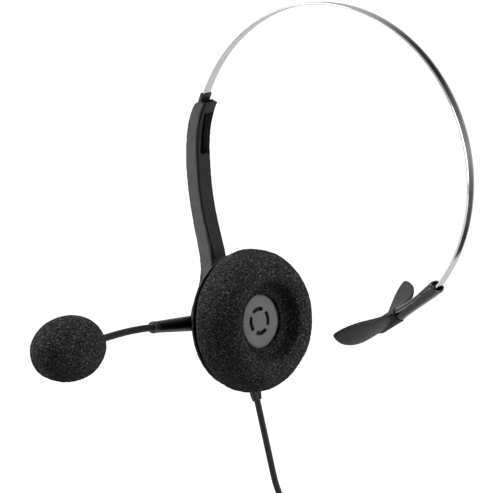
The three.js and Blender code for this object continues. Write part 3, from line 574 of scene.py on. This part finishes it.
def gooseneck():
    """One smooth sleeve in two pieces that meet in the middle link."""
    first, second = joint_point("neck_bend_a"), joint_point("neck_bend_b")
    root = centre_of("boom_collar")
    start = root + (first - root).normalized() * NECK_START
    tip = centre_of("gooseneck_tip")
    end = tip + (tip - second)
    line = catmull([start, first, second, end], NECK_LINE_STEPS)
    halfway = min(range(len(line)), key=lambda i: (line[i] - (first + second) / 2).length)
    for name, part, nodes, pair, joint in (
        ("gooseneck_sleeve_lower", line[:halfway + 1], ("gooseneck_root", "gooseneck_middle"),
         ("boom", "neck"), first),
        ("gooseneck_sleeve_upper", line[halfway:], ("gooseneck_tip",), ("neck", "mic"), second),
    ):
        sleeve = ring_tube(name, catmull(part, NECK_FINE_STEPS), NECK_RADIUS, NECK_SIDES)
        shade_smooth(sleeve)
        wear(sleeve, "neck")
        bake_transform(sleeve)
        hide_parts(*nodes)


# ------------------------------------------------------------------ cable
CABLE_RADIUS = 1.2 * MM
CABLE_RING_GAP = 0.7 * MM  # least distance between rings of the cable's CAD shape
CABLE_STEPS = 6
CABLE_SIDES = 24


def slices(points, direction, gap):
    """Groups points that lie in separate rings along a direction."""
    along = points @ np.array(direction)
    order = np.argsort(along)
    groups, current = [], [order[0]]
    for before, here in zip(order[:-1], order[1:]):
        if along[here] - along[before] > gap:
            groups.append(current)
            current = []
        current.append(here)
    groups.append(current)
    return [points[g].mean(0) for g in groups]


def cable():
    down = Vector(next(m for m in record["mounts"] if m["name"] == "plug_nose")["axis"])
    rings = [Vector(c) for c in slices(node_points("cable"), tuple(down), CABLE_RING_GAP)]
    jacket = ring_tube("cable_jacket", catmull(rings, CABLE_STEPS), CABLE_RADIUS, CABLE_SIDES)
    dress(jacket, "rubber", "ear_cup", "cable")


# ------------------------------------------------------------------ build
headband_strip()
ear_foam()
mic_foam()
gooseneck()
cable()

# CAD node, new piece, body, material, slot, voxel (mm), smoothing rounds, share of faces kept
MOULDED = [
    ("arm_outer_shell", "arm_shell", "arm", "arm", "satin_black", 0.3, 4, 0.5),
    ("arm_inner_cover", "arm_cover", "arm", "cover", "matt_black", 0.2, 3, 0.4),
    ("arm_top_guide", "arm_guide", "arm", "rubber", "rubber", 0.2, 3, 0.5),
    ("band_slide_block", "slide_block", "headband", "matt", "matt_black", 0.2, 3, 0.5),
    ("boom_rotor", "boom_hub", "boom", "boom", "satin_black", 0.35, 4, 0.4),
    ("rotor_cap", "boom_hub_cap", "boom", "gloss", "gloss_black", 0.3, 4, 0.5),
    ("boom_tube", "boom_stalk", "boom", "boom", "satin_black", 0.25, 5, 0.5),
    ("boom_collar", "boom_ring", "boom", "gloss", "gloss_black", 0.18, 3, 0.5),
    ("ear_cup_shell", "cup_housing", "ear_cup", "boom", "satin_black", 0.4, 4, 0.4),
    ("speaker_plate", "speaker_grille", "ear_cup", "plate", "grey_plate", 0.25, 3, 0.5),
    ("speaker_carrier", "speaker_frame", "ear_cup", "matt", "satin_black", 0.5, 3, 0.4),
    ("cable_boot", "cable_relief", "ear_cup", "rubber", "rubber", 0.22, 4, 0.5),
    ("temple_stem", "temple_bar", "headband", "gloss", "gloss_black", 0.25, 5, 0.5),
    ("temple_pad", "temple_wings", "temple", "matt", "matt_black", 0.3, 6, 0.5),
    ("plug_body", "plug_shell", "ear_cup", "clear", "clear_plastic", 0.2, 2, 0.5),
    ("plug_latch", "plug_lever", "plug_latch", "clear", "clear_plastic", 0.15, 2, 0.5),
]
for row in MOULDED:
    moulded_copy(*row)

# CAD nodes that show as they are, by material
CARRIED = {
    "spring": ("detent_spring", "wave_washer", "speaker_magnet"),
    "zinc": ("slide_block_rivet", "temple_stem_pin", "temple_pad_screw", "arm_cover_screw",
             "ball_stud", "hub_screw", "shell_screw_1", "shell_screw_2", "shell_screw_3",
             "clamp_screw", "mic_capsule", "speaker_basket"),
    "matt": ("mic_holder", "cable_clamp"),
    "felt": ("friction_washer", "damping_felt", "ball_liner"),
    "board": ("terminal_board",),
    "film": ("speaker_membrane",),
    "gold": ("plug_contact_1", "plug_contact_2", "plug_contact_3", "plug_contact_4"),
}
for material, names in CARRIED.items():
    for name in names:
        node = frame["nodes"][name]
        wear(node, material)
        shade_smooth(node)
        edges = node.modifiers.new("edges", "EDGE_SPLIT")
        edges.split_angle = HARD_EDGE


# ------------------------------------------------------------------ floor, light, camera
DOME_FILL = 0.06  # how much light the dome gives to matt surfaces
DOME_GLOSS = 0.62  # how bright glossy surfaces see the dome
FLOOR_FILL = 0.12  # how much light the floor throws back to matt surfaces
FLOOR_GLOW = 0.62  # what lifts the floor to the same white as the dome in the camera
FLOOR_GLOSS = 0.2
FLOOR_HALF = 6.0
FLOOR_DROP = 1 * MM  # how far the floor lies under the lowest point
LIGHT_DISTANCE = 0.8
REFLECTOR_Y = 0.2
REFLECTOR_REACH = (-0.06, 0.04)  # inwards and outwards of the mirrored point
# Angle round the band, in degrees from straight sideways, and how bright its mirror image is there.
MIRRORED_TONES = [
    (82, 0.6), (76, 0.5), (70, 0.4), (65, 0.24), (60, 0.1), (55, 0.04), (50, 0.025), (45, 0.02),
    (40, 0.035), (35, 0.07), (30, 0.11), (25, 0.2), (20, 0.3), (15, 0.35), (10, 0.33), (5, 0.2),
    (0, 0.11), (-5, 0.11), (-10, 0.08), (-15, 0.04), (-20, 0.03), (-25, 0.1),
]
SKY = {"direction": (-0.75, -0.1, 1.0), "strength": 1.6, "spread": math.radians(30)}
# Name, direction, width in metres, radiance
SOFTBOXES = [
    ("left panel", (-0.7, -0.8, -0.1), 0.45, 3.6),
    ("right panel", (1.0, 0.5, 0.3), 0.5, 3.4),
]
VIEW_AZIMUTH = math.radians(36.9)
VIEW_ELEVATION = math.radians(12.9)
VIEW_DISTANCE = 0.923
VIEW_LENS = 180
VIEW_SENSOR = 36
VIEW_TARGET = joint_point("boom_turn") + Vector((11.86, 0, 29.65)) * MM


def by_ray(tree, camera, glossy, diffuse):
    """A number that depends on which kind of ray asks for it."""
    ray = tree.nodes.new("ShaderNodeLightPath")
    value = diffuse
    steps = {"Is Camera Ray": camera - diffuse, "Is Glossy Ray": glossy - diffuse}
    for output, amount in steps.items():
        node = tree.nodes.new("ShaderNodeMath")
        node.operation = "MULTIPLY_ADD"
        node.inputs[1].default_value = amount
        tree.links.new(ray.outputs[output], node.inputs[0])
        if isinstance(value, float):
            node.inputs[2].default_value = value
        else:
            tree.links.new(value, node.inputs[2])
        value = node.outputs[0]
    return value


def studio():
    """Pale floor under a pale dome, with no edge between them; both light matt surfaces weakly."""
    size = FLOOR_HALF
    z = cad_box[0].z - FLOOR_DROP
    corners = [(-size, -size, z), (size, -size, z), (size, size, z), (-size, size, z)]
    floor = new_object("floor", corners, [(0, 1, 2, 3)])
    paint = Nodes("pale floor")
    mottle = paint.noise(40, 2)
    pale = paint.colours(mottle, [(0.3, 0.94), (0.7, 0.96)])
    dim = paint.colours(mottle, [(0.3, FLOOR_FILL * 0.98), (0.7, FLOOR_FILL)])
    paint.set(Base_Color=paint.mix(by_ray(paint.tree, 1.0, 1.0, 0.0), dim, pale), Roughness=0.9)
    glow = by_ray(paint.tree, FLOOR_GLOW, FLOOR_GLOSS, 0.0)
    paint.set(Emission_Color=(1, 1, 1, 1), Emission_Strength=glow)
    floor.data.materials.append(paint.material)
    world = bpy.data.worlds.new("studio")
    world.use_nodes = True
    background = world.node_tree.nodes["Background"]
    strength = by_ray(world.node_tree, 1.0, DOME_GLOSS, DOME_FILL)
    world.node_tree.links.new(strength, background.inputs["Strength"])
    background.inputs["Color"].default_value = (1, 1, 1, 1)
    bpy.context.scene.world = world
    bpy.context.scene.view_settings.view_transform = "Standard"


def add_light(kind, name, direction, energy):
    data = bpy.data.lights.new(name, kind)
    data.energy = energy
    light = bpy.data.objects.new(name, data)
    bpy.context.scene.collection.objects.link(light)
    towards = Vector(direction).normalized()
    light.location = (cad_box[0] + cad_box[1]) / 2 + towards * LIGHT_DISTANCE
    light.rotation_mode = "QUATERNION"
    light.rotation_quaternion = towards.to_track_quat("Z", "Y")
    return data


def softbox(name, direction, width, radiance):
    """Square panel as bright as asked, whatever its size."""
    data = add_light("AREA", name, direction, radiance * math.pi * width ** 2)
    data.shape = "SQUARE"
    data.size = width


def band_reflector():
    """Graded panel behind the band, which only the band's polished face mirrors to the camera."""
    centre = joint_point("arm_extend")
    points = node_points("headband_strip")
    radius = np.hypot(points[:, 0] - centre.x, points[:, 2] - centre.z).max()
    towards_camera = view_back()
    vertices, tones = [], []
    for degrees, tone in MIRRORED_TONES:
        out = Vector((math.cos(math.radians(degrees)), 0, math.sin(math.radians(degrees))))
        mirrored = out * (2 * out.dot(towards_camera)) - towards_camera
        start = centre + out * radius
        hit = start + mirrored * ((REFLECTOR_Y - start.y) / mirrored.y)
        outwards = Vector((hit.x - centre.x, 0, hit.z - centre.z)).normalized()
        for reach in REFLECTOR_REACH:
            spot = hit + outwards * reach
            spot.z = max(spot.z, cad_box[0].z)
            vertices.append(spot)
            tones.append(tone)
    faces = [(k, k + 1, k + 3, k + 2) for k in range(0, len(vertices) - 2, 2)]
    panel = new_object("band reflector", vertices, faces)
    layer = panel.data.attributes.new("tone", "FLOAT", "POINT")
    layer.data.foreach_set("value", tones)
    paint = Nodes("graded panel")
    tone = paint.tree.nodes.new("ShaderNodeAttribute")
    tone.attribute_name = "tone"
    dark = paint.colours(paint.noise(30, 2), [(0.3, 0.01), (0.7, 0.02)])
    paint.set(Base_Color=dark, Roughness=1.0, Specular_IOR_Level=0.0)
    paint.set(Emission_Color=(1, 1, 1, 1), Emission_Strength=tone.outputs["Fac"])
    panel.data.materials.append(paint.material)
    panel.visible_camera = False
    panel.visible_shadow = False
    panel.visible_diffuse = False


def view_back():
    """Direction from the object to the camera."""
    level = math.cos(VIEW_ELEVATION)
    return Vector((math.sin(VIEW_AZIMUTH) * level, -math.cos(VIEW_AZIMUTH) * level,
                   math.sin(VIEW_ELEVATION)))


def photo_camera():
    """Long lens, from the front and a little above, on the temple side."""
    back = view_back()
    data = bpy.data.cameras.new("camera")
    data.lens = VIEW_LENS
    data.sensor_width = VIEW_SENSOR
    data.clip_start = 0.01
    camera = bpy.data.objects.new("camera", data)
    bpy.context.scene.collection.objects.link(camera)
    camera.location = VIEW_TARGET + back * VIEW_DISTANCE
    camera.rotation_mode = "QUATERNION"
    camera.rotation_quaternion = back.to_track_quat("Z", "Y")
    bpy.context.scene.camera = camera


studio()
sky = add_light("SUN", "sky", SKY["direction"], SKY["strength"])
sky.angle = SKY["spread"]
for panel in SOFTBOXES:
    softbox(*panel)
band_reflector()
photo_camera()
